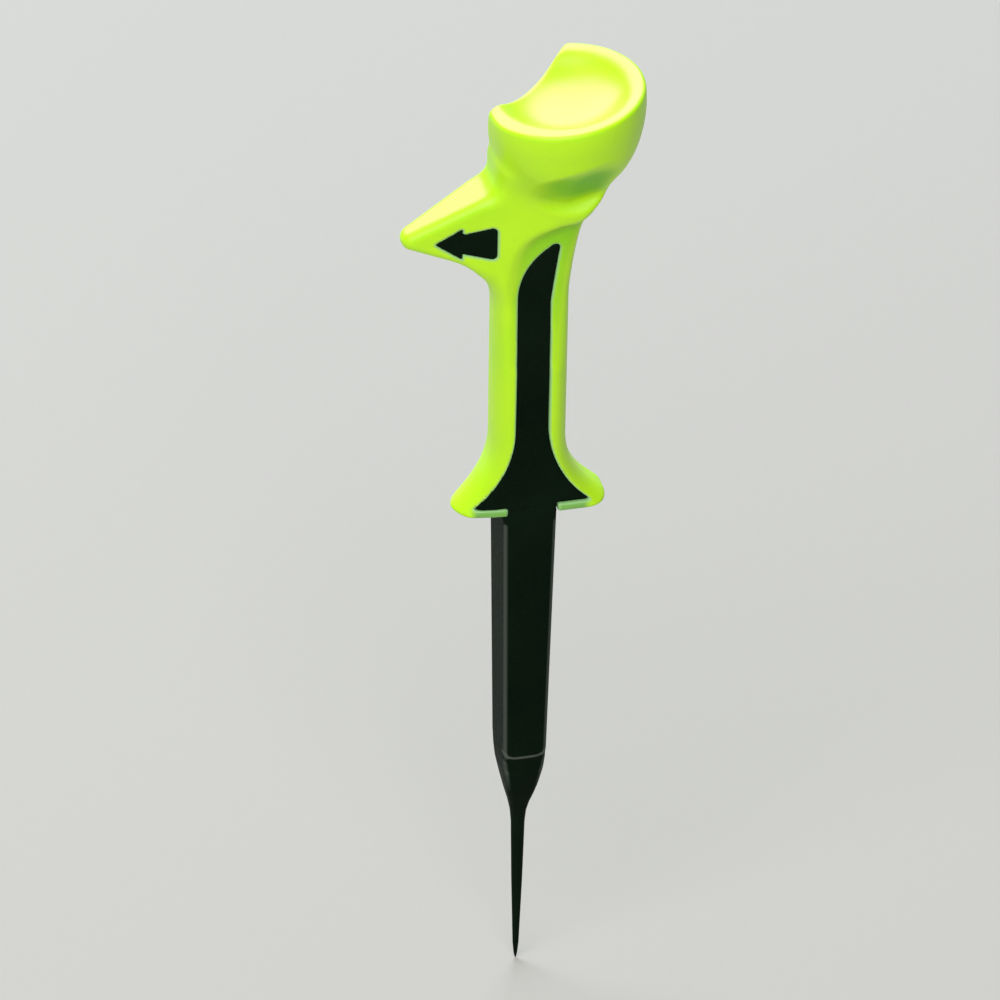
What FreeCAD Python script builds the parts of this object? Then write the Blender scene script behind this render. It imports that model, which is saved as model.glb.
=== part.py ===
import FreeCAD, Part
import math
import os
import Sketcher

# Golf tee moulded in two plastics: a lime body (ball cup, neck, pointer, handle frame and
# stop flange) over a black spike whose blade fills the window of the handle.
# Frame: the origin is on the axis of the spike, in the plane of the stop flange's underside.
# +Z goes up along the spike, the pointer points to -X, and the cup is cut away to -X +Y.

SIZES = {
    # whole tee
    "overall_length": 82.55,
    "overall_above_stop": 38.73,
    "stop_to_rim": 38.1,
    # ball cup, a body of revolution about an axis that leans forward
    "rim_radius": 6.7,
    "rim_setback": 2.5,
    "rim_tilt": 5.3,
    "land_width": 1.3,
    "dish_depth": 1.7,
    "floor_radius": 3.9,
    "floor_drop": 1.5,
    "dish_corner_radius": 3.0,
    "rim_round": 0.3,
    "wall_foot_radius": 6.35,
    "wall_foot_drop": 4.2,
    "cone_foot_radius": 1.3,
    "cone_foot_drop": 10.6,
    "wall_bend_radius": 4.0,
    # the side of the cup that is cut away
    "opening_bearing": 135,
    "opening_top_reach": 1.4,
    "opening_foot_reach": 3.4,
    "opening_foot_height": 31.6,
    "opening_foot_radius": 1.0,
    "opening_ledge_run": 12.0,
    "opening_ledge_fall": 6.0,
    "front_face_foot": 3.2,
    "front_face_top": 3.62,
    "front_face_height": 31.9,
    # scoops in the neck below the cup, one on each face
    "scoop_length": 13.0,
    "scoop_height": 5.4,
    "scoop_depth": 7.0,
    "scoop_x": 4.4,
    "scoop_y": 6.4,
    "scoop_z": 30.9,
    "scoop_slope": 18,
    # handle frame
    "body_thickness": 5.0,
    "edge_radius": 0.8,
    "handle_left": 2.86,
    "handle_right": 3.08,
    "handle_top_right": 3.16,
    "handle_top_height": 20.5,
    "handle_bend_radius": 12.0,
    "flange_left": 6.0,
    "flange_right": 6.35,
    "flare_left_height": 4.2,
    "flare_right_height": 3.85,
    "flare_radius": 6.0,
    "lobe_height": 1.3,
    "lobe_radius": 0.85,
    "lobe_plan_radius": 1.9,
    "lobe_cut_top": 3.0,
    "lip_thickness": 0.75,
    # neck
    "neck_bend_x": 4.0,
    "neck_bend_height": 26.3,
    "neck_bend_radius": 6.0,
    "neck_back_x": 7.6,
    "neck_back_height": 30.9,
    "neck_top_x": 6.0,
    "neck_top": 34.0,
    "neck_corner_radius": 1.5,
    # pointer
    "pointer_corner_x": 11.55,
    "pointer_corner_height": 25.85,
    "pointer_tip_radius": 0.85,
    "pointer_armpit_radius": 5.5,
    "pointer_root_x": 3.1,
    "pointer_root_top": 30.6,
    "pointer_crook_radius": 1.6,
    "pointer_root_foot": 22.8,
    "pointer_root_half": 2.25,
    "pointer_tip_half": 0.6,
    "pointer_cut_top": 31.8,
    "pointer_cut_height": 14.0,
    # black strip: the outline of the blade and of the window that it fills
    "strip_half_width": 1.3,
    "strip_foot_left": 4.45,
    "strip_foot_right": 4.8,
    "strip_flare_radius": 10.0,
    "strip_flare_height": 3.9,
    "leaf_bend_x": 1.38,
    "leaf_bend_height": 19.8,
    "leaf_bend_radius": 6.0,
    "leaf_tip_x": 2.15,
    "leaf_tip_height": 25.6,
    "leaf_tip_radius": 0.35,
    "leaf_side_x": 1.2,
    "leaf_side_height": 23.0,
    "leaf_side_radius": 5.5,
    "panel_half": 2.25,
    # shallow hollow in the lime round the leaf tip
    "hollow_foot_height": 19.8,
    "hollow_foot_left": 0.6,
    "hollow_foot_right": 1.0,
    "hollow_foot_rise": 0.4,
    "hollow_foot_radius": 1.0,
    "hollow_left": 1.9,
    "hollow_left_radius": 4.6,
    "hollow_top": 27.4,
    "hollow_bay_x": 2.55,
    "hollow_bay_height": 24.5,
    "hollow_bay_radius": 2.0,
    "hollow_back_x": 5.55,
    "hollow_back_height": 25.5,
    # spike
    "shaft_half_width": 2.16,
    "shaft_half_depth": 2.34,
    "shoulder_drop": 23.25,
    "shoulder_half_width": 1.76,
    "shoulder_half_depth": 1.95,
    "needle_radius": 0.55,
    "needle_start": 30.7,
    "needle_low_radius": 0.41,
    "point_length": 0.6,
    "needle_end_radius": 0.12,
    # arrow inlays
    "arrow_axis_height": 25.92,
    "arrow_root_gap": 0.05,
    "arrow_tip_reach": 4.75,
    "arrow_head_length": 2.05,
    "arrow_half_width": 1.4,
    "arrow_neck_half": 0.85,
    "arrow_tail_half": 1.53,
    "arrow_corner_radius": 0.35,
    "arrow_depth": 0.4,
}

# Sections of the spike below the shoulder: name, drop, half width, half depth.
TAPER = [
    ("taper_a", 25.0, 1.63, 1.72),
    ("taper_b", 26.7, 1.28, 1.38),
    ("taper_c", 28.6, 0.82, 0.85),
]

# Corner radius of the spike's sections as a share of their half depth.
SECTION_ROUNDING = 0.2

# How far a cutting shape runs past the material, and how far two cuts lap over each other.
OVERRUN = 6.0
LAP = 0.5
THROUGH = 30.0


class Size:
    """A number with the spreadsheet expression that gives it."""

    def __init__(self, value, rule):
        self.value = value
        self.rule = rule

    def combined(self, other, sign, value):
        rule = other.rule if isinstance(other, Size) else repr(other)
        return Size(value, f"({self.rule} {sign} {rule})")

    def __add__(self, other):
        return self.combined(other, "+", self.value + number(other))

    def __sub__(self, other):
        return self.combined(other, "-", self.value - number(other))

    def __mul__(self, other):
        return self.combined(other, "*", self.value * number(other))

    def __neg__(self):
        return Size(-self.value, f"(0 - {self.rule})")


def number(size):
    return size.value if isinstance(size, Size) else size


def make_sheet(doc):
    """The spreadsheet of driving dimensions, and the Size of each alias."""
    sheet = doc.addObject("Spreadsheet::Sheet", "sizes")
    table = dict(SIZES)
    for name, drop, half_width, half_depth in TAPER:
        table[name + "_drop"] = drop
        table[name + "_half_width"] = half_width
        table[name + "_half_depth"] = half_depth
    for row, (name, value) in enumerate(table.items(), start=1):
        sheet.set(f"A{row}", name)
        sheet.set(f"B{row}", str(value))
        sheet.setAlias(f"B{row}", name)
    doc.recompute()
    return {name: Size(float(value), f"sizes.{name}") for name, value in table.items()}


def bind(obj, path, size):
    """Binds a property to its spreadsheet expression."""
    if isinstance(size, Size):
        obj.setExpression(path, size.rule)


def new_body(doc, name):
    body = doc.addObject("PartDesign::Body", name)
    body.Label = name
    doc.recompute()
    return body


def new_sketch(body, name, role):
    plane = next(p for p in body.Origin.OriginFeatures if p.Role == role)
    sketch = body.newObject("Sketcher::SketchObject", name)
    sketch.AttachmentSupport = [(plane, "")]
    sketch.MapMode = "FlatFace"
    return sketch


def shift_sketch(sketch, base, axis=(0, 0, 1), angle=0):
    """Moves and turns a sketch in its plane's own axes."""
    place = FreeCAD.Placement(
        FreeCAD.Vector(*[number(b) for b in base]),
        FreeCAD.Rotation(FreeCAD.Vector(*axis), number(angle)),
    )
    sketch.AttachmentOffset = place
    for letter, size in zip("xyz", base):
        bind(sketch, f"AttachmentOffset.Base.{letter}", size)


def corner_arc(before, corner, after, radius):
    """The arc that rounds a corner: (start, end, whether it runs anticlockwise, the arc)."""
    towards = (before - corner).normalize()
    away = (after - corner).normalize()
    half_angle = towards.getAngle(away) / 2
    reach = radius / math.tan(half_angle)
    start, end = corner + towards * reach, corner + away * reach
    centre = corner + (towards + away).normalize() * (radius / math.sin(half_angle))
    circle = Part.Circle(centre, FreeCAD.Vector(0, 0, 1), radius)
    forward = (start - centre).cross(end - centre).z > 0
    first, last = (start, end) if forward else (end, start)
    arc = Part.ArcOfCircle(circle, circle.parameter(first), circle.parameter(last))
    return start, end, forward, arc


def draw_outline(sketch, corners, label=""):
    """A closed outline, fully constrained. Each corner is (x, y) when sharp, or
    (x, y, radius) when it is rounded. The label keeps two outlines' names apart."""
    points = [FreeCAD.Vector(number(c[0]), number(c[1]), 0) for c in corners]
    count = len(corners)
    arcs = {}
    for i, corner in enumerate(corners):
        if len(corner) == 3:
            neighbours = points[i - 1], points[i], points[(i + 1) % count]
            arcs[i] = corner_arc(*neighbours, number(corner[2]))
    lines = []
    for i in range(count):
        after = (i + 1) % count
        start = arcs[i][1] if i in arcs else points[i]
        end = arcs[after][0] if after in arcs else points[after]
        lines.append(sketch.addGeometry(Part.LineSegment(start, end)))
    for i, corner in enumerate(corners):
        before, after = lines[i - 1], lines[i]
        if i not in arcs:
            sketch.addConstraint(Sketcher.Constraint("Coincident", before, 2, after, 1))
            pin(sketch, f"{label}x{i}", ("DistanceX", -1, 1, after, 1), corner[0])
            pin(sketch, f"{label}y{i}", ("DistanceY", -1, 1, after, 1), corner[1])
            continue
        edge = sketch.addGeometry(arcs[i][3])
        first, last = (1, 2) if arcs[i][2] else (2, 1)
        sketch.addConstraint(Sketcher.Constraint("Tangent", before, 2, edge, first))
        sketch.addConstraint(Sketcher.Constraint("Tangent", edge, last, after, 1))
        pin(sketch, f"{label}radius{i}", ("Radius", edge), corner[2])
        vertex = sketch.addGeometry(Part.Point(points[i]), True)
        sketch.addConstraint(Sketcher.Constraint("PointOnObject", vertex, 1, before))
        sketch.addConstraint(Sketcher.Constraint("PointOnObject", vertex, 1, after))
        pin(sketch, f"{label}x{i}", ("DistanceX", -1, 1, vertex, 1), corner[0])
        pin(sketch, f"{label}y{i}", ("DistanceY", -1, 1, vertex, 1), corner[1])


def pin(sketch, name, what, size):
    """One named dimension of a sketch, bound to the sheet."""
    index = sketch.addConstraint(Sketcher.Constraint(*what, number(size)))
    sketch.renameConstraint(index, name)
    bind(sketch, f"Constraints.{name}", size)


def extrude(body, kind, name, sketch, length, symmetric=False, reverse=False):
    """A pad or a pocket of a sketch."""
    feature = body.newObject(f"PartDesign::{kind}", name)
    feature.Profile = sketch
    feature.SideType = "Symmetric" if symmetric else "One side"
    feature.Length = number(length)
    feature.Reversed = reverse
    bind(feature, "Length", length)
    return feature


def spin(body, kind, name, sketch):
    """A revolution or a groove about a sketch's vertical axis."""
    feature = body.newObject(f"PartDesign::{kind}", name)
    feature.Profile = sketch
    feature.ReferenceAxis = (sketch, ["V_Axis"])
    feature.Angle = 360
    return feature


def strip_outline(s):
    """Flared foot, straight strip and leaf-shaped top of the blade, from the near side."""
    half = s["strip_half_width"]
    bottom = s["lip_thickness"]
    bend = s["strip_flare_height"]
    flare = s["strip_flare_radius"]
    return [
        (-s["strip_foot_left"], bottom),
        (s["strip_foot_right"], bottom),
        (half, bend, flare),
        (s["leaf_bend_x"], s["leaf_bend_height"], s["leaf_bend_radius"]),
        (s["leaf_tip_x"], s["leaf_tip_height"], s["leaf_tip_radius"]),
        (-s["leaf_side_x"], s["leaf_side_height"], s["leaf_side_radius"]),
        (-half, bend, flare),
    ]


def frame_outline(s):
    """Handle, stop flange, neck and pointer from the near side, all corners rounded."""
    left, right = s["handle_left"], s["handle_right"]
    flange_left, flange_right = s["flange_left"], s["flange_right"]
    lobe = s["lobe_radius"]
    flare = s["flare_radius"]
    corner = s["neck_corner_radius"]
    root = s["pointer_root_x"]
    return [
        (-flange_left, 0, lobe),
        (flange_right, 0, lobe),
        (flange_right, s["lobe_height"], lobe),
        (right, s["flare_right_height"], flare),
        (s["handle_top_right"], s["handle_top_height"], s["handle_bend_radius"]),
        (s["neck_bend_x"], s["neck_bend_height"], s["neck_bend_radius"]),
        (s["neck_back_x"], s["neck_back_height"], corner),
        (s["neck_top_x"], s["neck_top"], corner),
        (-root, s["neck_top"], corner),
        (-root, s["pointer_root_top"], s["pointer_crook_radius"]),
        (-s["pointer_corner_x"], s["pointer_corner_height"], s["pointer_tip_radius"]),
        (-left, s["pointer_root_foot"], s["pointer_armpit_radius"]),
        (-left, s["flare_left_height"], flare),
        (-flange_left, s["lobe_height"], lobe),
    ]


def pad_frame(body, s):
    """The flat frame of the handle with the neck and the pointer, with rounded edges."""
    sketch = new_sketch(body, "frame_outline", "XZ_Plane")
    draw_outline(sketch, frame_outline(s))
    frame = extrude(body, "Pad", "frame", sketch, s["body_thickness"], symmetric=True)
    frame.Document.recompute()
    half = number(s["body_thickness"]) / 2
    rounded = []
    for i, edge in enumerate(frame.Shape.Edges, start=1):
        box = edge.BoundBox
        if box.YLength < 1e-3 and abs(abs(box.YMin) - half) < 1e-3:
            rounded.append(f"Edge{i}")
    fillet = body.newObject("PartDesign::Fillet", "frame_edges")
    fillet.Base = (frame, rounded)
    fillet.Radius = number(s["edge_radius"])
    bind(fillet, "Radius", s["edge_radius"])
    return fillet


def round_lobes(body, s):
    """Rounds the four corners of the stop flange as seen from below."""
    sketch = new_sketch(body, "lobe_corners", "XY_Plane")
    half = s["body_thickness"] * 0.5
    turn = s["lobe_plan_radius"]
    left, right = s["flange_left"], s["flange_right"]
    corners = ((1, 1, right, "a"), (1, -1, right, "b"), (-1, 1, left, "c"), (-1, -1, left, "d"))
    for x_side, y_side, wide, label in corners:
        outline = [
            (wide - turn - LAP, half),
            (wide, half, turn),
            (wide, half - turn - LAP),
            (wide + OVERRUN, half - turn - LAP),
            (wide + OVERRUN, half + OVERRUN),
            (wide - turn - LAP, half + OVERRUN),
        ]
        outline = [(x * x_side, y * y_side, *rest) for x, y, *rest in outline]
        draw_outline(sketch, outline, label)
    shift_sketch(sketch, (0, 0, s["lobe_cut_top"]))
    extrude(body, "Pocket", "lobe_rounding", sketch, s["lobe_cut_top"] + OVERRUN)


def thin_pointer(body, s):
    """Cuts both faces of the pointer so that it thins towards its tip."""
    sketch = new_sketch(body, "pointer_faces", "XY_Plane")
    root, tip = -s["pointer_root_x"], -s["pointer_corner_x"]
    outside = s["body_thickness"]
    for side in (1, -1):
        draw_outline(
            sketch,
            [
                (root, s["pointer_root_half"] * side),
                (tip, s["pointer_tip_half"] * side),
                (tip, outside * side),
                (root, outside * side),
            ],
            label="near" if side < 0 else "far",
        )
    shift_sketch(sketch, (0, 0, s["pointer_cut_top"]))
    extrude(body, "Pocket", "pointer_thinning", sketch, s["pointer_cut_height"])


def cup_sketch(body, name, s):
    """A sketch in the XZ plane whose origin is the rim's centre and whose vertical is the cup's axis."""
    sketch = new_sketch(body, name, "XZ_Plane")
    shift_sketch(sketch, (s["rim_setback"], s["stop_to_rim"], 0), angle=s["rim_tilt"])
    return sketch


def add_cup(body, s):
    """The cup: a short wall over a cone that runs down into the neck, with a shallow dish."""
    sketch = cup_sketch(body, "cup_outline", s)
    draw_outline(
        sketch,
        [
            (0, -s["cone_foot_drop"]),
            (s["cone_foot_radius"], -s["cone_foot_drop"]),
            (s["wall_foot_radius"], -s["wall_foot_drop"], s["wall_bend_radius"]),
            (s["rim_radius"], 0, s["rim_round"]),
            (0, 0),
        ],
    )
    spin(body, "Revolution", "cup", sketch)
    sketch = cup_sketch(body, "dish_outline", s)
    land = s["rim_radius"] - s["land_width"]
    draw_outline(
        sketch,
        [
            (0, -s["dish_depth"]),
            (s["floor_radius"], -s["floor_drop"], s["dish_corner_radius"]),
            (land, 0),
            (land, OVERRUN),
            (0, OVERRUN),
        ],
    )
    spin(body, "Groove", "dish", sketch)


def open_cup(body, s):
    """Cuts the side of the cup away along a leaning plane, and trims the neck's front flat."""
    sketch = new_sketch(body, "opening_outline", "XZ_Plane")
    foot = s["opening_foot_reach"]
    height = s["opening_foot_height"]
    draw_outline(
        sketch,
        [
            (foot, height, s["opening_foot_radius"]),
            (s["opening_top_reach"], s["stop_to_rim"]),
            (s["opening_top_reach"], s["stop_to_rim"] + OVERRUN),
            (foot + s["opening_ledge_run"], s["stop_to_rim"] + OVERRUN),
            (foot + s["opening_ledge_run"], height - s["opening_ledge_fall"]),
        ],
    )
    shift_sketch(sketch, (0, 0, 0), (0, 1, 0), s["opening_bearing"])
    extrude(body, "Pocket", "opening", sketch, THROUGH, symmetric=True)
    sketch = new_sketch(body, "front_outline", "XZ_Plane")
    level = s["front_face_height"]
    draw_outline(
        sketch,
        [
            (-s["front_face_foot"], level),
            (-s["front_face_top"], s["stop_to_rim"] + OVERRUN),
            (-s["front_face_top"] - OVERRUN, s["stop_to_rim"] + OVERRUN),
            (-s["front_face_foot"] - OVERRUN, level),
        ],
    )
    extrude(body, "Pocket", "front_face", sketch, THROUGH, symmetric=True)


def scoop_neck(body, s):
    """The scoop below the cup on each face of the neck: part of an ellipsoid."""
    for side, name in ((-1, "near_scoop"), (1, "far_scoop")):
        scoop = body.newObject("PartDesign::SubtractiveEllipsoid", name)
        bind(scoop, "Radius1", s["scoop_height"] * 0.5)
        bind(scoop, "Radius2", s["scoop_length"] * 0.5)
        bind(scoop, "Radius3", s["scoop_depth"] * 0.5)
        scoop.Placement = FreeCAD.Placement(
            FreeCAD.Vector(number(s["scoop_x"]), side * number(s["scoop_y"]), number(s["scoop_z"])),
            FreeCAD.Rotation(FreeCAD.Vector(0, -1, 0), number(s["scoop_slope"])),
        )
        bind(scoop, "Placement.Base.x", s["scoop_x"])
        bind(scoop, "Placement.Base.y", s["scoop_y"] * side)
        bind(scoop, "Placement.Base.z", s["scoop_z"])


def cut_window(body, s):
    """The window for the blade, the gap in the flange's lips for the shaft, and the hollows
    above the window on both faces."""
    sketch = new_sketch(body, "window_outline", "XZ_Plane")
    draw_outline(sketch, strip_outline(s))
    extrude(body, "Pocket", "window", sketch, s["body_thickness"] * 2, symmetric=True)
    sketch = new_sketch(body, "shaft_gap_outline", "XZ_Plane")
    half = s["shaft_half_width"]
    lip = s["lip_thickness"]
    draw_outline(sketch, [(-half, -LAP), (half, -LAP), (half, lip + LAP), (-half, lip + LAP)])
    extrude(body, "Pocket", "shaft_gap", sketch, s["body_thickness"] * 2, symmetric=True)
    for side, name in ((-1, "near_hollow"), (1, "far_hollow")):
        sketch = new_sketch(body, name + "_outline", "XZ_Plane")
        low = s["hollow_foot_height"]
        top = s["hollow_top"]
        left = s["hollow_left"]
        back = s["hollow_back_x"]
        draw_outline(
            sketch,
            [
                (-s["hollow_foot_left"], low),
                (s["hollow_foot_right"], low),
                (s["hollow_bay_x"], s["hollow_bay_height"], s["hollow_bay_radius"]),
                (back, s["hollow_back_height"]),
                (back, top),
                (-left, top, s["hollow_left_radius"]),
                (-left, low + s["hollow_foot_rise"], s["hollow_foot_radius"]),
            ],
        )
        shift_sketch(sketch, (0, 0, s["panel_half"] * -side))
        extrude(body, "Pocket", name, sketch, s["body_thickness"], reverse=side < 0)


def arrow_sketch(body, name, side, s):
    """The arrow's outline on the slanted face of the pointer. Its origin is where the
    pointer's root meets that face."""
    slant = pointer_slant(s)
    sketch = new_sketch(body, name, "XZ_Plane")
    root = s["pointer_root_x"]
    base = (-root, s["arrow_axis_height"], s["pointer_root_half"] * -side)
    shift_sketch(sketch, base, (0, 1, 0), slant * side)
    tip = -s["arrow_tip_reach"]
    neck = tip + s["arrow_head_length"]
    wide, narrow, tail = s["arrow_half_width"], s["arrow_neck_half"], s["arrow_tail_half"]
    corner = s["arrow_corner_radius"]
    end = s["arrow_root_gap"]
    draw_outline(
        sketch,
        [
            (tip, 0),
            (neck, -wide),
            (neck, -narrow),
            (end, -tail, corner),
            (end, tail, corner),
            (neck, narrow),
            (neck, wide),
        ],
    )
    return sketch


def pointer_slant(s):
    """Angle in degrees between a face of the pointer and the middle plane."""
    run = number(s["pointer_corner_x"]) - number(s["pointer_root_x"])
    drop = number(s["pointer_root_half"]) - number(s["pointer_tip_half"])
    return math.degrees(math.atan2(drop, run))


def cut_arrow_pockets(body, s):
    for side, name in ((-1, "near_arrow_pocket"), (1, "far_arrow_pocket")):
        sketch = arrow_sketch(body, name + "_outline", side, s)
        extrude(body, "Pocket", name, sketch, s["arrow_depth"], reverse=side > 0)


def build_head(doc, s):
    """The lime moulding."""
    body = new_body(doc, "head_body")
    pad_frame(body, s)
    round_lobes(body, s)
    thin_pointer(body, s)
    add_cup(body, s)
    scoop_neck(body, s)
    open_cup(body, s)
    cut_window(body, s)
    cut_arrow_pockets(body, s)
    return body


def build_arrow(doc, name, side, s):
    """One black arrow, flush in its pocket."""
    body = new_body(doc, name)
    sketch = arrow_sketch(body, name + "_outline", side, s)
    extrude(body, "Pad", name + "_plate", sketch, s["arrow_depth"], reverse=side < 0)
    return body


def spike_section(body, name, drop, half_width, half_depth, s):
    """A rounded rectangle across the spike, at a drop below the stop."""
    sketch = new_sketch(body, name, "XY_Plane")
    rounding = half_depth * SECTION_ROUNDING
    draw_outline(
        sketch,
        [
            (-half_width, -half_depth, rounding),
            (half_width, -half_depth, rounding),
            (half_width, half_depth, rounding),
            (-half_width, half_depth, rounding),
        ],
    )
    shift_sketch(sketch, (0, 0, -drop))
    return sketch


def build_spike(doc, s):
    """The black moulding: needle, tapered shaft and the blade inside the handle."""
    body = new_body(doc, "spike_core")
    sketch = new_sketch(body, "blade_outline", "XZ_Plane")
    draw_outline(sketch, strip_outline(s))
    extrude(body, "Pad", "blade", sketch, s["panel_half"] * 2, symmetric=True)
    tip = s["overall_length"] - s["overall_above_stop"]
    end = s["needle_end_radius"]
    shaft = s["shaft_half_width"], s["shaft_half_depth"]
    stations = [
        ("lip_section", -s["lip_thickness"], *shaft),
        ("stop_section", 0, *shaft),
        ("shoulder_section", s["shoulder_drop"], s["shoulder_half_width"], s["shoulder_half_depth"]),
    ]
    for name, _, _, _ in TAPER:
        sizes = (s[f"{name}_{what}"] for what in ("drop", "half_width", "half_depth"))
        stations.append((name + "_section", *sizes))
    needle = s["needle_radius"]
    stations.append(("needle_section", s["needle_start"], needle, needle))
    low = s["needle_low_radius"]
    stations.append(("point_section", tip - s["point_length"], low, low))
    stations.append(("tip_section", tip, end, end))
    sections = [spike_section(body, *station, s) for station in stations]
    loft = body.newObject("PartDesign::AdditiveLoft", "shaft")
    loft.Profile = sections[0]
    loft.Sections = sections[1:]
    loft.Ruled = True
    return body


def main():
    doc = FreeCAD.newDocument("golf_tee")
    s = make_sheet(doc)
    build_head(doc, s)
    build_spike(doc, s)
    build_arrow(doc, "arrow_inlay_near", -1, s)
    build_arrow(doc, "arrow_inlay_far", 1, s)
    doc.recompute()
    bad = [o.Name for o in doc.Objects if "Invalid" in o.State or "Error" in o.State]
    if bad:
        raise RuntimeError(f"these objects failed: {bad}")
    os.makedirs("parts", exist_ok=True)
    for body in doc.findObjects("PartDesign::Body"):
        shape = body.Shape
        if shape.isNull() or not shape.isValid() or len(shape.Solids) != 1:
            raise RuntimeError(f"{body.Label} has no single valid solid")
        print(body.Label, round(shape.Volume, 2), shape.BoundBox)
        shape.exportStep(f"parts/{body.Label}.step")


main()
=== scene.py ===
"""Looks for the golf tee: a lime head and handle moulded over a black spike core.

The visible skins are sculpted as distance fields in millimetres, in the CAD frame:
the spike runs down -Z, the pointer reaches to -X and the near side faces -Y.
A field is negative inside the plastic, and each skin is its field's zero level.
"""

import math

import bpy
import numpy as np
from mathutils import Matrix, Vector


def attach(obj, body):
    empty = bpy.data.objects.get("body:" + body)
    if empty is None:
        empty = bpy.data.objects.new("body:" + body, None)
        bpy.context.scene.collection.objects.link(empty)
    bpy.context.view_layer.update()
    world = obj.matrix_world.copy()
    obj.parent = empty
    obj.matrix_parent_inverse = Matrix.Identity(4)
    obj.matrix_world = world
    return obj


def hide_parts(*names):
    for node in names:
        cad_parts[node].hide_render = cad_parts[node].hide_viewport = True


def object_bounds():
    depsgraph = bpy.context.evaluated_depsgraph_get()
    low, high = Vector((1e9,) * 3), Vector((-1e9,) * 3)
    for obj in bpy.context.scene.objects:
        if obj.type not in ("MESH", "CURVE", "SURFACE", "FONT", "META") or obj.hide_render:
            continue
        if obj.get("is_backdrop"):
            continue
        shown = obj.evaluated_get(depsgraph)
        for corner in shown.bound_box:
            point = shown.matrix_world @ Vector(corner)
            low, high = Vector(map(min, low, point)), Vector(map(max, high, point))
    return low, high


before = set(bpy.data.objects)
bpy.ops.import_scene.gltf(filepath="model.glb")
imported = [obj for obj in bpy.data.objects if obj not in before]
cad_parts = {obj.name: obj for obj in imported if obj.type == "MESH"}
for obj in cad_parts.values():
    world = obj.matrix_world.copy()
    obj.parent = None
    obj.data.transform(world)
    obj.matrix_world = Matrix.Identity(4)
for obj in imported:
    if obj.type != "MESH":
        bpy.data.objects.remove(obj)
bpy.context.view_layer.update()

MM = 0.001
SIN_45 = math.sqrt(0.5)


# ---------------------------------------------------------------- joining fields

def join(a, b, blend):
    """Both solids together, with a fillet about as wide as blend."""
    near = np.maximum(blend - np.abs(a - b), 0.0)
    return np.minimum(a, b) - near * near / (4.0 * blend)


def meet(a, b, blend):
    """Only where both solids are, with the edge rounded."""
    return -join(-a, -b, blend)


def cut(a, b, blend):
    """The first solid without the second."""
    return -join(-a, b, blend)


def ramp(value, start, end):
    """0 before start, 1 after end, and smooth between."""
    t = np.clip((value - start) / (end - start), 0.0, 1.0)
    return t * t * (3.0 - 2.0 * t)


# ---------------------------------------------------------------- flat outlines

ARC_STEP = math.radians(3)


def rounded(corners):
    """Points of a closed outline whose corners (x, z, radius) are rounded by arcs."""
    points = []
    for i, (x, z, radius) in enumerate(corners):
        here = np.array((x, z))
        if radius == 0:
            points.append(here)
            continue
        before = np.array(corners[i - 1][:2]) - here
        after = np.array(corners[(i + 1) % len(corners)][:2]) - here
        before = before / np.linalg.norm(before)
        after = after / np.linalg.norm(after)
        half_angle = math.acos(float(np.clip(before @ after, -1.0, 1.0))) / 2
        middle = (before + after) / np.linalg.norm(before + after)
        centre = here + middle * radius / math.sin(half_angle)
        start = here + before * radius / math.tan(half_angle) - centre
        turn = math.pi - 2 * half_angle
        side = np.sign(before[0] * after[1] - before[1] * after[0])
        steps = int(turn / ARC_STEP) + 2
        for k in range(steps + 1):
            angle = -side * turn * k / steps
            c, s = math.cos(angle), math.sin(angle)
            points.append(centre + (c * start[0] - s * start[1], s * start[0] + c * start[1]))
    return np.array(points)


class Outline:
    """Signed distance to a closed rounded outline, kept on a fine sheet of samples."""

    PITCH = 0.05
    LOW = (-12.5, -2.5)
    COUNT = (470, 860)
    SHORTEST = 1e-10

    def __init__(self, corners):
        points = rounded(corners)
        x = (self.LOW[0] + self.PITCH * np.arange(self.COUNT[0]))[:, None]
        z = (self.LOW[1] + self.PITCH * np.arange(self.COUNT[1]))[None, :]
        nearest = np.full(self.COUNT, np.inf)
        inside = np.zeros(self.COUNT, bool)
        for (x1, z1), (x2, z2) in zip(points, np.roll(points, -1, axis=0)):
            run, rise = x2 - x1, z2 - z1
            length = run * run + rise * rise
            if length < self.SHORTEST:
                continue
            along = np.clip(((x - x1) * run + (z - z1) * rise) / length, 0.0, 1.0)
            gap = (x - x1 - run * along) ** 2 + (z - z1 - rise * along) ** 2
            np.minimum(nearest, gap, out=nearest)
            if rise != 0:
                inside ^= ((z1 <= z) != (z2 <= z)) & (x - x1 < (z - z1) * run / rise)
        self.sheet = np.where(inside, -1.0, 1.0) * np.sqrt(nearest)

    def __call__(self, x, z):
        """The distance at each point, read between the four samples round it."""
        x, z = np.broadcast_arrays(x, z)
        a = np.clip((x - self.LOW[0]) / self.PITCH, 0, self.COUNT[0] - 1.001)
        b = np.clip((z - self.LOW[1]) / self.PITCH, 0, self.COUNT[1] - 1.001)
        i, j = a.astype(int), b.astype(int)
        a, b = a - i, b - j
        s = self.sheet
        low = s[i, j] * (1 - a) + s[i + 1, j] * a
        high = s[i, j + 1] * (1 - a) + s[i + 1, j + 1] * a
        return low * (1 - b) + high * b


def slab(flat, y, half, across, deep):
    """A flat outline thickened to both sides of the mid-plane. Its edges are rounded by
    quarter ellipses: across in the outline's plane, deep through the thickness."""
    a = flat / across + 1.0
    b = (np.abs(y) - half) / deep + 1.0
    rounding = np.hypot(np.maximum(a, 0.0), np.maximum(b, 0.0)) - 1.0
    return (np.minimum(np.maximum(a, b), 0.0) + rounding) * np.minimum(across, deep)


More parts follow.
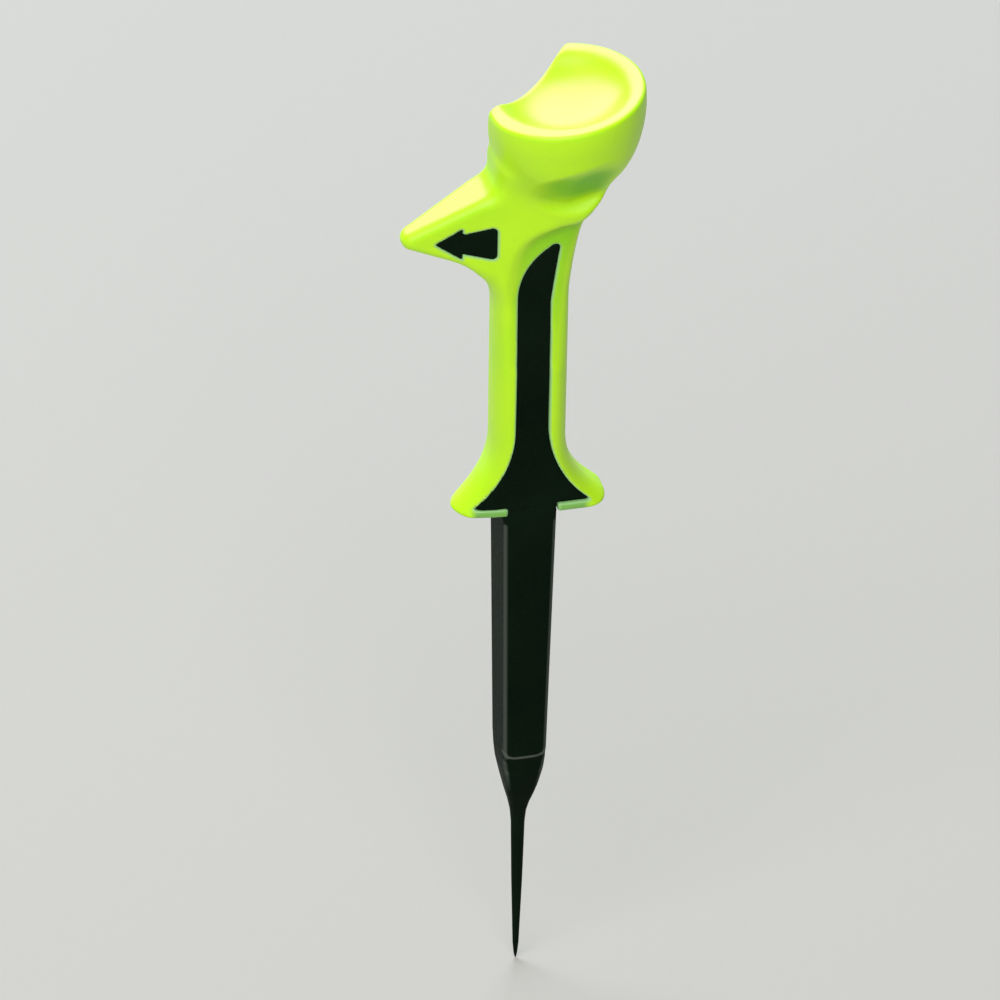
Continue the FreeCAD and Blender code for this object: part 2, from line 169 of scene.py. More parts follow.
def ellipsoid(x, y, z, radii):
    """Approximate distance to an ellipsoid at the origin."""
    near = np.sqrt((x / radii[0]) ** 2 + (y / radii[1]) ** 2 + (z / radii[2]) ** 2)
    slope = np.sqrt((x / radii[0] ** 2) ** 2 + (y / radii[1] ** 2) ** 2 + (z / radii[2] ** 2) ** 2)
    return near * (near - 1.0) / np.maximum(slope, 1e-6)


# ---------------------------------------------------------------- the shapes, in millimetres

# Level of the top of the two thin lips, where the black strip's foot starts.
LIP_TOP = 0.75

# Side view of the handle, flange, neck and pointer together.
side_outline = Outline([
    (-6.05, -2.4, 0.5),
    (6.4, -2.4, 0.5),
    (6.4, 0.5, 0.6),
    (3.08, 3.55, 7.0),
    (3.16, 20.5, 12.0),
    (3.9, 26.3, 6.0),
    (5.1, 29.2, 1.5),
    (5.0, 33.0, 1.0),
    (-3.1, 33.0, 0.5),
    (-3.1, 30.47, 1.6),
    (-11.55, 25.85, 0.85),
    (-2.9, 22.8, 5.5),
    (-2.83, 3.7, 7.5),
    (-6.05, 0.2, 0.4),
])

# The black strip seen through the handle: a flared foot, a straight stem and a leaf tip.
strip_outline = Outline([
    (-4.45, LIP_TOP, 0.05),
    (4.8, LIP_TOP, 0.05),
    (1.3, 3.9, 10.0),
    (1.38, 19.8, 6.0),
    (2.15, 25.6, 0.35),
    (-1.2, 23.0, 5.5),
    (-1.3, 3.9, 10.0),
])

# The hollow round the strip's tip, open at the back of the neck.
hollow_outline = Outline([
    (-2.0, 14.0, 0.0),
    (-2.0, 19.3, 8.0),
    (-0.9, 25.7, 3.0),
    (2.0, 26.9, 1.5),
    (9.0, 27.9, 0.0),
    (9.0, 14.0, 0.0),
])

# The arrow, pointing along the pointer.
ARROW_AXIS = 25.92
arrow_outline = Outline([
    (-7.8, ARROW_AXIS, 0.05),
    (-5.75, ARROW_AXIS + 1.4, 0.05),
    (-5.75, ARROW_AXIS + 0.85, 0.05),
    (-3.05, ARROW_AXIS + 1.53, 0.35),
    (-3.05, ARROW_AXIS - 1.53, 0.35),
    (-5.75, ARROW_AXIS - 0.85, 0.05),
    (-5.75, ARROW_AXIS - 1.4, 0.05),
])

# The cup leans by CUP_TILT, has its rim at RIM_HEIGHT and would close CUP_DROP below it.
CUP_X = 2.5
RIM_HEIGHT = 38.1
CUP_TILT = math.radians(5.3)
RIM_RADIUS = 6.62
RIM_ROUNDING = 0.35
CUP_DROP = 11.2
CUP_POWER = 2.3

# Its two sides are this much fuller, between these drops below the rim.
CHEEK = 0.06
CHEEK_GROWS = (2.5, 5.5)
CHEEK_FADES = (6.0, 8.5)

# The ball dish in its rim.
DISH_RADIUS = 5.2
DISH_SHIFT = 0.3
DISH_DEPTH = 1.65
DISH_POWER = 3.8
DISH_ROUNDING = 0.5

# Half thicknesses: at the pointer's root and its loss per millimetre, the handle, the neck's gain.
POINTER_ROOT = -3.1
POINTER_HALF = 2.3
POINTER_TAPER = 0.19
HANDLE_HALF = 2.5
NECK_GAIN = 0.85
NECK_GROWS = (22.5, 29.5)
THICKNESS_BLEND = 6.0

# Rounding of the side outline's edges: the plain edge, and what the handle and flange add.
PLAIN_EDGE = 0.8
HANDLE_ACROSS = 0.65
FLANGE_LESS_ACROSS = 0.2
HANDLE_DEEP = 1.3

# Where that handle rounding applies: on the flange up to FLANGE_ENDS, behind the pointer
# above it, and less from NECK_TIGHTENS up. FLANGE_TOE is the flange's own height.
HANDLE_STARTS_X = (-4.6, -2.6)
FLANGE_ENDS = (8.0, 14.0)
NECK_TIGHTER = 0.6
NECK_TIGHTENS = (24.0, 30.0)
FLANGE_TOE = (0.0, 5.0)

# The flange's flat underside has an edge this wide, wider by TIP_EDGE at its two tips.
UNDERSIDE_EDGE = 0.25
TIP_EDGE = 0.25
TIP_STARTS = (4.6, 5.8)

# The front of the neck, and the top of the pointer where it meets the neck.
NECK_FRONT = 3.42
NECK_LEVEL = 33.0
NECK_LEAN = 0.05
POINTER_TOP = 31.0
POINTER_SLOPE = 0.58
POINTER_FILLET = 1.8

# The cut through the cup's front far side: a leaning, slightly hollow wall over a ledge.
OPENING_REACH = 1.7
OPENING_LEAN = math.tan(math.radians(16.0))
OPENING_HOLLOW = 0.6
OPENING_MIDDLE = 3.5
OPENING_HALF_WIDTH = 5.5
LEDGE_LEVEL = 31.5
LEDGE_REACH = 3.4
LEDGE_SLOPE = 0.4
LEDGE_FILLET = 1.6

# Fillets and edges between the parts of the lime moulding.
CUP_FILLET = 1.6
NECK_FILLET = 0.8
OPENING_EDGE = 0.35
SCOOP_EDGE = 0.35
HOLLOW_EDGE = 0.9

# The finger scoop: an ellipsoid of these radii round a centre, under a slanting ceiling.
SCOOP_TILT = math.radians(15.0)
SCOOP_CENTRE = (4.6, 6.8, 31.2)
SCOOP_RADII = (7.6, 4.8, 3.5)
SCOOP_CEILING = 33.75
CEILING_SLOPE = 1.4
CEILING_Y = 6.0
CEILING_RISE = 0.33
CEILING_LOW_X = 2.3

# The hollow's floor, measured from the mid-plane, and how it runs out down the handle.
HOLLOW_LEVEL = 2.3
HOLLOW_RUN_OUT = 0.4
HOLLOW_FADES = (14.0, 21.0)

# The black pieces: half the blade's thickness, the arrows' depth, how far they stay below the
# lime surface, and the gap between the two plastics. The spike leaves through the lip opening.
PANEL_HALF = 2.25
ARROW_DEPTH = 0.4
FLUSH_GAP = 0.02
SEAM_GAP = 0.03
LIP_OPENING = (-1.8, 2.2)


def cup_field(x, y, z):
    """The cup: a bowl round a leaning axis, fuller on its two sides, with a dish in its rim."""
    side, up = x - CUP_X, z - RIM_HEIGHT
    drop = side * math.sin(CUP_TILT) - up * math.cos(CUP_TILT)
    forward = side * math.cos(CUP_TILT) + up * math.sin(CUP_TILT)
    share = np.clip(drop / CUP_DROP, 0.0, 1.2)
    wall = RIM_RADIUS * (1.0 - share ** CUP_POWER)
    fuller = CHEEK * ramp(drop, *CHEEK_GROWS) * (1.0 - ramp(drop, *CHEEK_FADES))
    radius = np.hypot(forward, y * (1.0 - fuller))
    slope = RIM_RADIUS * CUP_POWER / CUP_DROP * share ** (CUP_POWER - 1.0)
    outside = (radius - wall) / np.sqrt(1.0 + slope ** 2)
    cup = meet(outside, -drop, RIM_ROUNDING)
    radius = np.hypot(forward - DISH_SHIFT, y)
    share = np.clip(radius / DISH_RADIUS, 0.0, 1.3)
    depth = DISH_DEPTH * (1.0 - share ** DISH_POWER)
    slope = DISH_DEPTH * DISH_POWER / DISH_RADIUS * share ** (DISH_POWER - 1.0)
    return cut(cup, (drop - depth) / np.sqrt(1.0 + slope ** 2), DISH_ROUNDING)


def half_thickness(x, z):
    """Half the thickness of the side outline, thinner along the pointer."""
    pointer = POINTER_HALF - POINTER_TAPER * (POINTER_ROOT - x)
    neck = HANDLE_HALF + NECK_GAIN * ramp(z, *NECK_GROWS)
    return -np.logaddexp(-THICKNESS_BLEND * pointer, -THICKNESS_BLEND * neck) / THICKNESS_BLEND


def edge_rounding(x, z):
    """How far the rounded edge reaches in from the outline, and how deep it goes. It is
    nearly a full round on the handle and the flange, and tighter above."""
    handle = np.maximum(ramp(x, *HANDLE_STARTS_X), 1.0 - ramp(z, *FLANGE_ENDS))
    handle = handle * (1.0 - NECK_TIGHTER * ramp(z, *NECK_TIGHTENS))
    flange = 1.0 - ramp(z, *FLANGE_TOE)
    across = PLAIN_EDGE + (HANDLE_ACROSS - FLANGE_LESS_ACROSS * flange) * handle
    return across, PLAIN_EDGE + HANDLE_DEEP * handle


def neck_void(x, y, z):
    """The air in front of the neck and above the pointer."""
    front = x + NECK_FRONT + NECK_LEAN * (z - NECK_LEVEL)
    above_pointer = POINTER_TOP + POINTER_SLOPE * (x - POINTER_ROOT) - z
    return meet(front, above_pointer / math.hypot(1.0, POINTER_SLOPE), POINTER_FILLET)


def opening_void(x, y, z):
    """The air where the front far side of the cup is cut open."""
    reach = (y - x) * SIN_45
    along = (x + y) * SIN_45 - OPENING_MIDDLE
    hollow = OPENING_HOLLOW * (1.0 - (along / OPENING_HALF_WIDTH) ** 2)
    wall = OPENING_REACH - hollow + OPENING_LEAN * (RIM_HEIGHT - z) - reach
    ledge = LEDGE_LEVEL - LEDGE_SLOPE * (reach - LEDGE_REACH) - z
    return meet(wall / math.hypot(1.0, OPENING_LEAN), ledge / math.hypot(1.0, LEDGE_SLOPE),
                LEDGE_FILLET)


def scoop_void(x, y, z):
    """A finger scoop under the cup, on each side."""
    side, up = x - SCOOP_CENTRE[0], z - SCOOP_CENTRE[2]
    along = side * math.cos(SCOOP_TILT) + up * math.sin(SCOOP_TILT)
    rise = up * math.cos(SCOOP_TILT) - side * math.sin(SCOOP_TILT)
    bowl = ellipsoid(along, np.abs(y) - SCOOP_CENTRE[1], rise, SCOOP_RADII)
    ceiling = z - SCOOP_CEILING - CEILING_SLOPE * (np.abs(y) - CEILING_Y)
    ceiling = ceiling - CEILING_RISE * np.hypot(x - CEILING_LOW_X, 0.5)
    return meet(bowl, ceiling / math.hypot(1.0, CEILING_SLOPE), 0.4)


def whole_field(x, y, z):
    """The lime moulding before its faces are scooped and hollowed."""
    body = slab(side_outline(x, z), y, half_thickness(x, z), *edge_rounding(x, z))
    body = meet(body, -z, UNDERSIDE_EDGE + TIP_EDGE * ramp(np.abs(x), *TIP_STARTS))
    body = join(body, cup_field(x, y, z), CUP_FILLET)
    body = cut(body, neck_void(x, y, z), NECK_FILLET)
    return cut(body, opening_void(x, y, z), OPENING_EDGE)


def hollow_void(x, y, z):
    """The shallow hollow round the leaf tip, fading out down the handle."""
    level = HOLLOW_LEVEL + HOLLOW_RUN_OUT * (1.0 - ramp(z, *HOLLOW_FADES))
    return meet(hollow_outline(x, z), level - np.abs(y), 1.0)


def body_field(x, y, z):
    """The lime moulding before the strip and the arrows are let into it."""
    body = cut(whole_field(x, y, z), scoop_void(x, y, z), SCOOP_EDGE)
    return cut(body, hollow_void(x, y, z), HOLLOW_EDGE)


def lip_gap(x, z):
    """The gap between the two lips, where the spike leaves the flange."""
    middle = (LIP_OPENING[0] + LIP_OPENING[1]) / 2
    half = (LIP_OPENING[1] - LIP_OPENING[0]) / 2
    return meet(np.abs(x - middle) - half, z - LIP_TOP - 0.3, 0.2)


def lime_field(x, y, z):
    """The finished lime head and handle."""
    lime = body_field(x, y, z)
    window = np.minimum(strip_outline(x, z), lip_gap(x, z))
    lime = cut(lime, window - SEAM_GAP, 0.12)
    pocket_floor = half_thickness(x, z) - ARROW_DEPTH
    pocket = np.maximum(arrow_outline(x, z) - SEAM_GAP, pocket_floor - np.abs(y))
    return cut(lime, pocket, 0.08)


# Down the spike: level, half width, half depth and corner radius.
SPIKE_SECTIONS = np.array([
    (-43.80, 0.05, 0.05, 0.05),
    (-43.40, 0.14, 0.14, 0.14),
    (-42.40, 0.24, 0.24, 0.24),
    (-36.00, 0.44, 0.44, 0.44),
    (-30.70, 0.55, 0.55, 0.55),
    (-29.56, 0.64, 0.65, 0.58),
    (-28.60, 0.82, 0.85, 0.55),
    (-27.67, 1.06, 1.13, 0.50),
    (-26.70, 1.28, 1.38, 0.45),
    (-25.00, 1.63, 1.72, 0.40),
    (-23.80, 1.74, 1.80, 0.36),
    (-23.25, 1.76, 1.95, 0.35),
    (-0.30, 2.16, 2.34, 0.35),
    (1.00, 2.18, 2.20, 0.35),
])
# The shoulder's edge lifts by this much towards its two ends.
SHOULDER_LEVEL = -23.3
SHOULDER_LIFT = 0.6
SHOULDER_HALF_WIDTH = 1.76
FACE_CROWN = 0.08


def spike_field(x, y, z):
    """The spike below the flange: a tapering rounded bar that narrows to a needle."""
    level = SPIKE_SECTIONS[:, 0]
    width = np.interp(z, level, SPIKE_SECTIONS[:, 1])
    corner = np.interp(z, level, SPIKE_SECTIONS[:, 3])
    share = np.minimum(np.abs(x) / width, 1.0)
    lift = SHOULDER_LIFT * share ** 6 * ramp(z, -26.5, -24.5) * (1.0 - ramp(z, -2.0, -1.0))
    depth = np.interp(z - lift, level, SPIKE_SECTIONS[:, 2])
    crown = FACE_CROWN * (1.0 - share ** 2) * ramp(depth, 0.8, 1.8) * (1.0 - ramp(z, -0.8, 0.8))
    a = np.abs(x) - width + corner
    b = np.abs(y) - depth - crown + corner
    rounding = np.hypot(np.maximum(a, 0.0), np.maximum(b, 0.0)) - corner
    bar = np.minimum(np.maximum(a, b), 0.0) + rounding
    return np.maximum(bar, SPIKE_SECTIONS[0, 0] - z)


def core_field(x, y, z):
    """The black core: the blade in the handle and the spike below it."""
    blade = slab(strip_outline(x, z), y, PANEL_HALF, 0.06, 0.06)
    blade = np.maximum(blade, body_field(x, y, z) + FLUSH_GAP)
    spike = spike_field(x, y, z)
    neck = np.maximum(np.maximum(spike, lip_gap(x, z)), -0.05 - z)
    return join(join(blade, neck, 0.2), meet(spike, z + SEAM_GAP, 0.06), 0.1)


def arrow_field(x, y, z):
    """An arrow inlay, flush with the pointer's side."""
    back = half_thickness(x, z) - ARROW_DEPTH + FLUSH_GAP - np.abs(y)
    thick = np.maximum(body_field(x, y, z) + FLUSH_GAP, back)
    return meet(arrow_outline(x, z), thick, 0.06)


# ---------------------------------------------------------------- from field to mesh

def slope_of(field, points, reach=0.01):
    """The field's value and gradient at each point."""
    x, y, z = points.T
    gradient = np.empty_like(points)
    gradient[:, 0] = field(x + reach, y, z) - field(x - reach, y, z)
    gradient[:, 1] = field(x, y + reach, z) - field(x, y - reach, z)
    gradient[:, 2] = field(x, y, z + reach) - field(x, y, z - reach)
    return field(x, y, z), gradient / (2 * reach)


def settle(field, points, passes, stride):
    """Moves points onto the field's zero level."""
    for _ in range(passes):
        value, gradient = slope_of(field, points)
        steep = np.maximum((gradient ** 2).sum(1), 0.05)
        move = -value[:, None] * gradient / steep[:, None]
        length = np.linalg.norm(move, axis=1, keepdims=True)
        points = points + move * np.minimum(1.0, stride / np.maximum(length, 1e-9))
    return points


def relax(points, quads):
    """Evens the spacing: each point moves half way to the middle of its neighbours."""
    ends = np.concatenate([quads[:, [k, (k + 1) % 4]] for k in range(4)])
    total = np.zeros_like(points)
    for axis in range(3):
        total[:, axis] = np.bincount(ends[:, 0], points[ends[:, 1], axis], len(points))
    count = np.bincount(ends[:, 0], minlength=len(points))
    return (points + total / count[:, None]) / 2


def surface_net(field, low, high, step, narrow=None):
    """Quads round the field's zero level, one point in each lattice cell that it crosses.
    narrow, where given, squeezes the lattice towards the Z axis at each level."""
    axes = [np.arange(low[k], high[k] + step, step) for k in range(3)]
    x, y, z = axes[0][:, None, None], axes[1][None, :, None], axes[2][None, None, :]
    scale = narrow(z) if narrow else 1.0
    samples = field(x * scale, y * scale, z)
    cells, crossings = [], []
    for axis in range(3):
        first = [slice(None)] * 3
        second = [slice(None)] * 3
        first[axis], second[axis] = slice(0, -1), slice(1, None)
        a, b = samples[tuple(first)], samples[tuple(second)]
        at = np.argwhere((a < 0) != (b < 0))
        start, end = a[tuple(at.T)], b[tuple(at.T)]
        crossing = at.astype(float)
        crossing[:, axis] += start / (start - end)
        ring = []
        for du, dv in ((0, 0), (-1, 0), (-1, -1), (0, -1)):
            cell = at.copy()
            cell[:, (axis + 1) % 3] += du
            cell[:, (axis + 2) % 3] += dv
            ring.append(np.ravel_multi_index(cell.T, samples.shape))
        ring = np.stack(ring, axis=1)
        ring[start > 0] = ring[start > 0, ::-1]
        cells.append(ring)
        crossings.append(crossing)
    cells, crossings = np.concatenate(cells), np.concatenate(crossings)
    names, quads = np.unique(cells, return_inverse=True)
    quads = quads.reshape(-1, 4)
    places = np.empty((len(names), 3))
    count = np.bincount(quads.ravel(), minlength=len(names))
    for axis in range(3):
        total = np.bincount(quads.ravel(), np.repeat(crossings[:, axis], 4), len(names))
        places[:, axis] = total / count
    places = np.array(low) + places * step
    if narrow:
        places[:, :2] *= narrow(places[:, 2])[:, None]
    return places, quads


def make_piece(name, node, slot, field, low, high, step, narrow=None, attributes=()):
    """Meshes a field as a piece that stands for a CAD node."""
    points, quads = surface_net(field, low, high, step, narrow)
    points = settle(field, points, 2, step)
    for _ in range(2):
        points = settle(field, relax(points, quads), 2, step)
    mesh = bpy.data.meshes.new(name)
    mesh.from_pydata(points * MM, [], quads.tolist())
    mesh.update()
    mesh.polygons.foreach_set("use_smooth", np.ones(len(quads), bool))
    for label, measure in attributes:
        layer = mesh.attributes.new(label, "FLOAT", "POINT")
        layer.data.foreach_set("value", measure(*points.T).astype(np.float32))
    piece = bpy.data.objects.new(name, mesh)
    bpy.context.scene.collection.objects.link(piece)
    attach(piece, "root")
    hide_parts(node)
    return piece


def band(distance, width, fade):
    """1 within width of a line, fading to 0."""
    return 1.0 - ramp(np.abs(distance), width, width + fade)


def lime_seam_highlight(x, y, z):
    """Where the lime touches the black plastic, painted as a pale highlight line along the edge."""
    on_face = np.abs(y) > 1.0
    strip = band(np.minimum(strip_outline(x, z), lip_gap(x, z)), 0.1, 0.12)
    arrow = band(arrow_outline(x, z), 0.1, 0.15) * on_face
    return np.maximum(strip, arrow)


def lime_lip(x, y, z):
    """The two thin lips over the strip's foot."""
    inner = 1.0 - ramp(np.abs(x), 4.2, 4.9)
    return (1.0 - ramp(z, LIP_TOP, LIP_TOP + 0.15)) * inner


def lime_shaded_recess(x, y, z):
    """The deep parts of the scoops, under the cup, and of the hollow: painted shade, a darker green
    laid into the lime there, which is also made rougher.
    """
    depth = ramp(-whole_field(x, y, z), 0.0, 0.6)
    scoop = band(scoop_void(x, y, z), 0.15, 0.3) * ramp(z, 29.4, 31.0)
    hollow = 0.8 * band(hollow_void(x, y, z), 0.15, 0.3) * ramp(depth, 0.0, 0.3)
    return np.maximum(scoop * depth, hollow * np.abs(depth) ** 0.5 * (np.abs(y) > 1.5))


def convex(field, reach):
    """A measure of how sharply the surface turns outward."""
    def measure(x, y, z):
        total = (field(x + reach, y, z) + field(x - reach, y, z) + field(x, y + reach, z)
                 + field(x, y - reach, z) + field(x, y, z + reach) + field(x, y, z - reach))
        return np.clip((total - 6 * field(x, y, z)) / reach, 0.0, 2.0)
    return measure


def spike_edge_highlights(x, y, z):
    """Painted highlights on the spike: lighter along its long corners and the lower end of its flat
    faces.
    """
    on_shaft = (1.0 - ramp(z, -0.9, -0.4)) * ramp(z, -29.0, -25.0)
    corners = convex(core_field, 0.25)(x, y, z) * on_shaft
    share = np.minimum(np.abs(x) / SHOULDER_HALF_WIDTH, 1.0)
    below = z - SHOULDER_LEVEL - SHOULDER_LIFT * share ** 6
    return np.maximum(corners, band(below, 0.06, 0.14) * ramp(np.abs(y), 1.2, 1.5))


# ---------------------------------------------------------------- materials

class Nodes:
    """Short names for building a node tree."""

    def __init__(self, name):
        self.material = bpy.data.materials.new(name)
        self.material.use_nodes = True
        self.tree = self.material.node_tree
        self.shader = self.tree.nodes["Principled BSDF"]
        place = self.tree.nodes.new("ShaderNodeTexCoord")
        self.place = place.outputs["Object"]

    def add(self, kind, inputs=None, **settings):
        """A new node with its settings and inputs filled in."""
        node = self.tree.nodes.new(kind)
        for key, value in settings.items():
            setattr(node, key, value)
        for key, value in (inputs or {}).items():
            self.feed(node.inputs[key], value)
        return node

    def feed(self, socket, value):
        """Links an output to the socket, or sets the socket's own value."""
        if isinstance(value, bpy.types.NodeSocket):
            self.tree.links.new(value, socket)
        else:
            socket.default_value = value

    def noise(self, scale, detail=3.0, roughness=0.55):
        """Noise with this many cells to the metre."""
        node = self.add("ShaderNodeTexNoise", {"Vector": self.place, "Scale": scale,
                                               "Detail": detail, "Roughness": roughness})
        return node.outputs["Fac"]

    def remap(self, value, low, high, new_low, new_high):
        """Stretches one range of values onto another."""
        node = self.add("ShaderNodeMapRange", {0: value, 1: low, 2: high, 3: new_low, 4: new_high})
        return node.outputs[0]

    def mix(self, factor, first, second):
        """A colour between two others."""
        node = self.add("ShaderNodeMix", data_type="RGBA")
        self.feed(node.inputs[0], factor)
        self.feed(node.inputs[6], first)
        self.feed(node.inputs[7], second)
        return node.outputs[2]

    def math(self, operation, first, second):
        """Arithmetic on two values."""
        return self.add("ShaderNodeMath", {0: first, 1: second}, operation=operation).outputs[0]

    def attribute(self, label):
        """A value kept on the mesh's points."""
        return self.add("ShaderNodeAttribute", attribute_name=label).outputs["Fac"]

    def bump(self, height, distance, strength, under=None):
        """Fine relief, on top of another relief where one is given."""
        inputs = {"Height": height, "Distance": distance, "Strength": strength}
        if under is not None:
            inputs["Normal"] = under
        return self.add("ShaderNodeBump", inputs).outputs["Normal"]


def linear(red, green, blue):
    """A colour given as 0 to 255 screen values, as the linear values nodes use."""
    def channel(v):
        v /= 255.0
        return v / 12.92 if v <= 0.04045 else ((v + 0.055) / 1.055) ** 2.4
    return (channel(red), channel(green), channel(blue), 1.0)


LIME = linear(172, 226, 6)
LIME_BRIGHT = linear(184, 234, 10)
LIME_SPECK = linear(150, 214, 16)
# Painted shade: the darker green laid into the deep scoops and the hollow.
LIME_PAINTED_SHADE = linear(72, 172, 0)
LIME_LIP = linear(100, 160, 84)
# Painted highlight: the pale line along the lime's edge where it meets the black.
LIME_SEAM_HIGHLIGHT = linear(140, 190, 128)
BLACK = linear(6, 18, 10)
BLACK_SOFT = linear(12, 24, 15)
BLACK_SPECK = linear(24, 35, 28)
# Painted highlight: the lighter grey on the spike's corners and shoulder.
BLACK_EDGE_HIGHLIGHT = linear(84, 92, 88)
PAPER = (0.33, 0.315, 0.3, 1)
PAPER_BRIGHT = (0.36, 0.345, 0.33, 1)


def lime_plastic():
    """Glossy lime polypropylene, faintly translucent, with a fine moulded grain."""
    n = Nodes("lime_plastic")
    cloud = n.noise(90.0, 4.0)
    speck = n.noise(2600.0, 2.0)
    tint = n.mix(n.remap(cloud, 0.35, 0.65, 0.0, 1.0), LIME, LIME_BRIGHT)
    tint = n.mix(n.remap(speck, 0.55, 0.75, 0.0, 0.16), tint, LIME_SPECK)
    # Painted shade: darker green in the deep scoops under the cup and in the hollow.
    tint = n.mix(n.math("MULTIPLY", n.attribute("shaded_recess"), 0.75), tint, LIME_PAINTED_SHADE)
    tint = n.mix(n.math("MULTIPLY", n.attribute("lip"), 0.85), tint, LIME_LIP)
    # Painted highlight: a pale line round the strip and the arrows.
    tint = n.mix(n.math("MULTIPLY", n.attribute("seam_highlight"), 0.95), tint, LIME_SEAM_HIGHLIGHT)
    n.feed(n.shader.inputs["Base Color"], tint)
    roughness = n.remap(cloud, 0.3, 0.7, 0.4, 0.5)
    roughness = n.math("ADD", roughness, n.math("MULTIPLY", n.attribute("shaded_recess"), 0.35))
    n.feed(n.shader.inputs["Roughness"], roughness)
    n.shader.inputs["IOR"].default_value = 1.42
    n.shader.inputs["Coat Weight"].default_value = 0.25
    n.shader.inputs["Coat Roughness"].default_value = 0.32
    n.shader.inputs["Subsurface Weight"].default_value = 0.2
    n.shader.inputs["Subsurface Radius"].default_value = (0.6, 1.0, 0.2)
    n.shader.inputs["Subsurface Scale"].default_value = 0.0012
    grain = n.bump(n.noise(5200.0, 3.0), 0.00002, 0.35)
    ripple = n.bump(n.noise(260.0, 2.0), 0.00006, 0.25, grain)
    n.feed(n.shader.inputs["Normal"], ripple)
    return n.material


def black_plastic():
    """Matte black plastic with a fine spark-eroded grain, and painted highlights on the spike's
    edges.
    """
    n = Nodes("black_plastic")
    cloud = n.noise(140.0, 4.0)
    speck = n.noise(4200.0, 3.0, 0.7)
    tint = n.mix(n.remap(cloud, 0.3, 0.7, 0.0, 1.0), BLACK, BLACK_SOFT)
    tint = n.mix(n.remap(speck, 0.56, 0.72, 0.0, 0.4), tint, BLACK_SPECK)
    # Painted highlight: lighter grey along the spike's corners and shoulder line.
    tint = n.mix(n.remap(n.attribute("edge_highlight"), 0.3, 1.0, 0.0, 0.9), tint, BLACK_EDGE_HIGHLIGHT)
    n.feed(n.shader.inputs["Base Color"], tint)
    n.feed(n.shader.inputs["Roughness"], n.remap(speck, 0.3, 0.7, 0.42, 0.6))
    n.shader.inputs["IOR"].default_value = 1.08
    grain = n.bump(speck, 0.00003, 0.5)
    n.feed(n.shader.inputs["Normal"], n.bump(n.noise(420.0, 2.0), 0.00005, 0.2, grain))
    return n.material


def floor_paper():
    """Pale matte studio floor."""
    n = Nodes("studio_floor")
    cloud = n.noise(6.0, 3.0)
    n.feed(n.shader.inputs["Base Color"], n.mix(cloud, PAPER, PAPER_BRIGHT))
    n.feed(n.shader.inputs["Roughness"], n.remap(cloud, 0.3, 0.7, 0.75, 0.85))
    n.feed(n.shader.inputs["Normal"], n.bump(n.noise(900.0, 3.0), 0.0002, 0.1))
    return n.material


# ---------------------------------------------------------------- build the pieces

def spike_narrowing(z):
    """How much the lattice narrows down the spike, so that the needle keeps its cells."""
    return np.interp(z, SPIKE_SECTIONS[:, 0], SPIKE_SECTIONS[:, 1] / SPIKE_SECTIONS[-1, 1])


# Lattice steps, and the lowest and highest corners of the space that each field is sampled in.
lime_step = 0.155
black_step = 0.14
arrow_step = 0.07
LIME_SPACE = ((-11.2, -7.2, -0.45), (9.9, 7.2, 39.4))
CORE_SPACE = ((-5.3, -2.8, -44.2), (5.3, 2.8, 25.9))
ARROW_SPACES = (("arrow_inlay_near", -1, (-8.3, -2.6, 24.0), (-2.6, -0.6, 28.0)),
                ("arrow_inlay_far", 1, (-8.3, 0.6, 24.0), (-2.6, 2.6, 28.0)))

head = make_piece("head_body_skin", "head_body", "lime_plastic", lime_field, *LIME_SPACE, lime_step,
                  attributes=(("seam_highlight", lime_seam_highlight), ("lip", lime_lip), ("shaded_recess", lime_shaded_recess)))
core = make_piece("spike_core_skin", "spike_core", "black_plastic", core_field, *CORE_SPACE,
                  black_step, spike_narrowing, attributes=(("edge_highlight", spike_edge_highlights),))


def one_side(sign):
    """The arrow field on one side only."""
    return lambda x, y, z: np.maximum(arrow_field(x, y, z), -sign * y)


arrows = []
for node, sign, low, high in ARROW_SPACES:
    arrows.append(make_piece(node + "_skin", node, "black_plastic", one_side(sign),
                             low, high, arrow_step))

lime = lime_plastic()
black = black_plastic()
head.data.materials.append(lime)
for piece in [core] + arrows:
    piece.data.materials.append(black)


# ---------------------------------------------------------------- floor, lights and camera

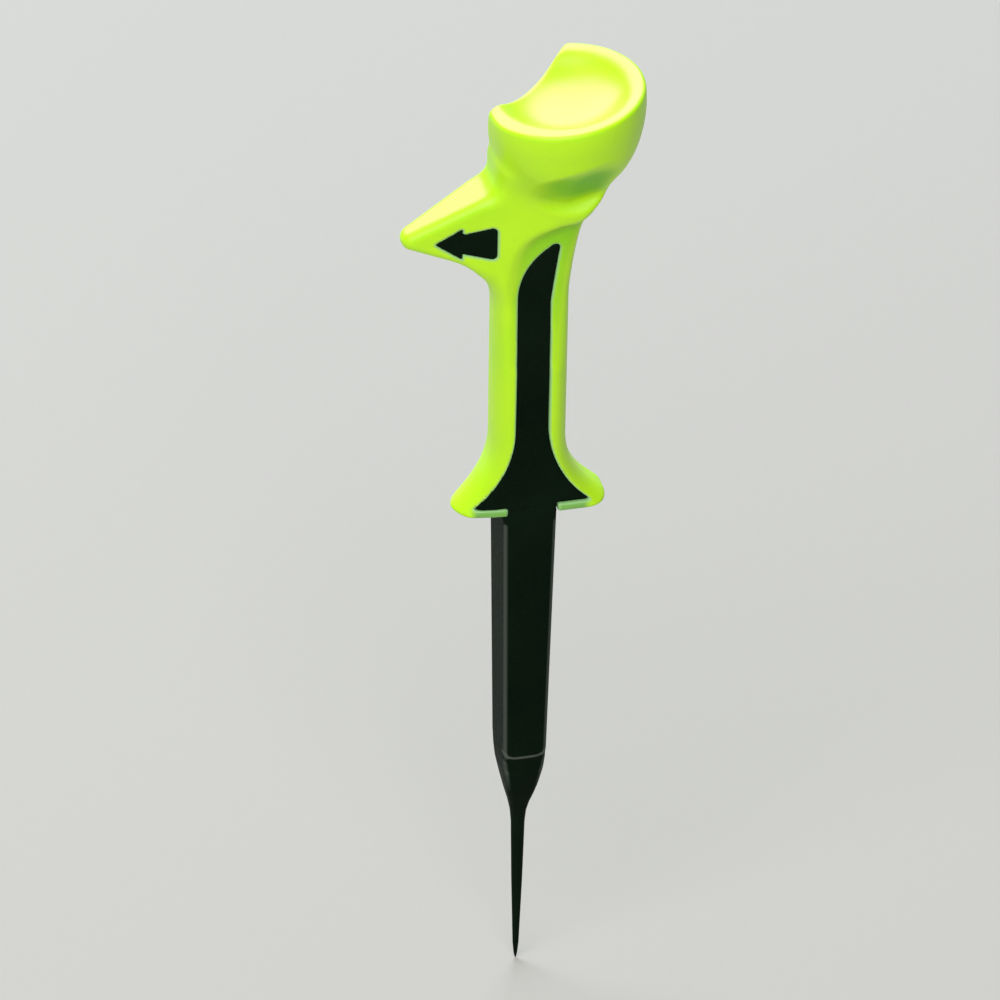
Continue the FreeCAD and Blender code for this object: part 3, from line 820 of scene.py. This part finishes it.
FLOOR_LEVEL = -43.86 * MM
FLOOR_REACH = 4.0
floor_mesh = bpy.data.meshes.new("studio_floor")
corners = [(a * FLOOR_REACH, b * FLOOR_REACH, FLOOR_LEVEL)
           for a, b in ((-1, -1), (1, -1), (1, 1), (-1, 1))]
floor_mesh.from_pydata(corners, [], [(0, 1, 2, 3)])
floor = bpy.data.objects.new("studio_floor", floor_mesh)
floor_mesh.materials.append(floor_paper())
bpy.context.scene.collection.objects.link(floor)
floor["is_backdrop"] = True

AZIMUTH = math.radians(-14.6)
ELEVATION = math.radians(34.0)
ROLL = math.radians(1.0)
DISTANCE = 3.0
PIXELS_PER_MM = 12.72
IMAGE_WIDTH = 1000
SENSOR = 36.0
AIM_RIGHT = -1.84 * MM
AIM_UP = -0.12 * MM


def away_from_object(azimuth, elevation):
    """The direction from the object to something at these angles, 0 being in front."""
    flat = math.cos(elevation)
    return Vector((math.sin(azimuth) * flat, -math.cos(azimuth) * flat, math.sin(elevation)))


back = away_from_object(AZIMUTH, ELEVATION)
level = Vector((math.cos(AZIMUTH), math.sin(AZIMUTH), 0.0))
upward = back.cross(level)
right = level * math.cos(ROLL) + upward * math.sin(ROLL)
up = upward * math.cos(ROLL) - level * math.sin(ROLL)
target = right * AIM_RIGHT + up * AIM_UP

camera_data = bpy.data.cameras.new("camera")
camera_data.sensor_width = SENSOR
camera_data.lens = SENSOR * PIXELS_PER_MM / IMAGE_WIDTH * DISTANCE / MM
camera_data.clip_start = 0.05
camera_data.clip_end = 20.0
camera = bpy.data.objects.new("camera", camera_data)
bpy.context.scene.collection.objects.link(camera)
turned = Matrix((right, up, back)).transposed().to_4x4()
camera.matrix_world = Matrix.Translation(target + back * DISTANCE) @ turned
bpy.context.scene.camera = camera


def softbox(name, azimuth, elevation, distance, size, radiance, colour=(1.0, 1.0, 1.0)):
    """A square area light of a given brightness, aimed at the object."""
    away = away_from_object(math.radians(azimuth), math.radians(elevation))
    data = bpy.data.lights.new(name, "AREA")
    data.shape = "SQUARE"
    data.size = size
    data.energy = radiance * math.pi * size * size
    data.color = colour
    light = bpy.data.objects.new(name, data)
    light.location = away * distance
    light.rotation_mode = "QUATERNION"
    light.rotation_quaternion = away.to_track_quat("Z", "Y")
    bpy.context.scene.collection.objects.link(light)


softbox("softbox_back", 186, 43, 0.9, 0.86, 7.0, (0.87, 0.94, 1.0))
softbox("softbox_key", -28, 42, 0.9, 0.85, 4.2, (1.0, 0.99, 0.88))

world = bpy.data.worlds.new("studio")
world.use_nodes = True
background = world.node_tree.nodes["Background"]
background.inputs["Color"].default_value = (0.95, 1.0, 0.97, 1.0)
background.inputs["Strength"].default_value = 0.24
bpy.context.scene.world = world
bpy.context.scene.view_settings.view_transform = "Standard"

low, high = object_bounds()
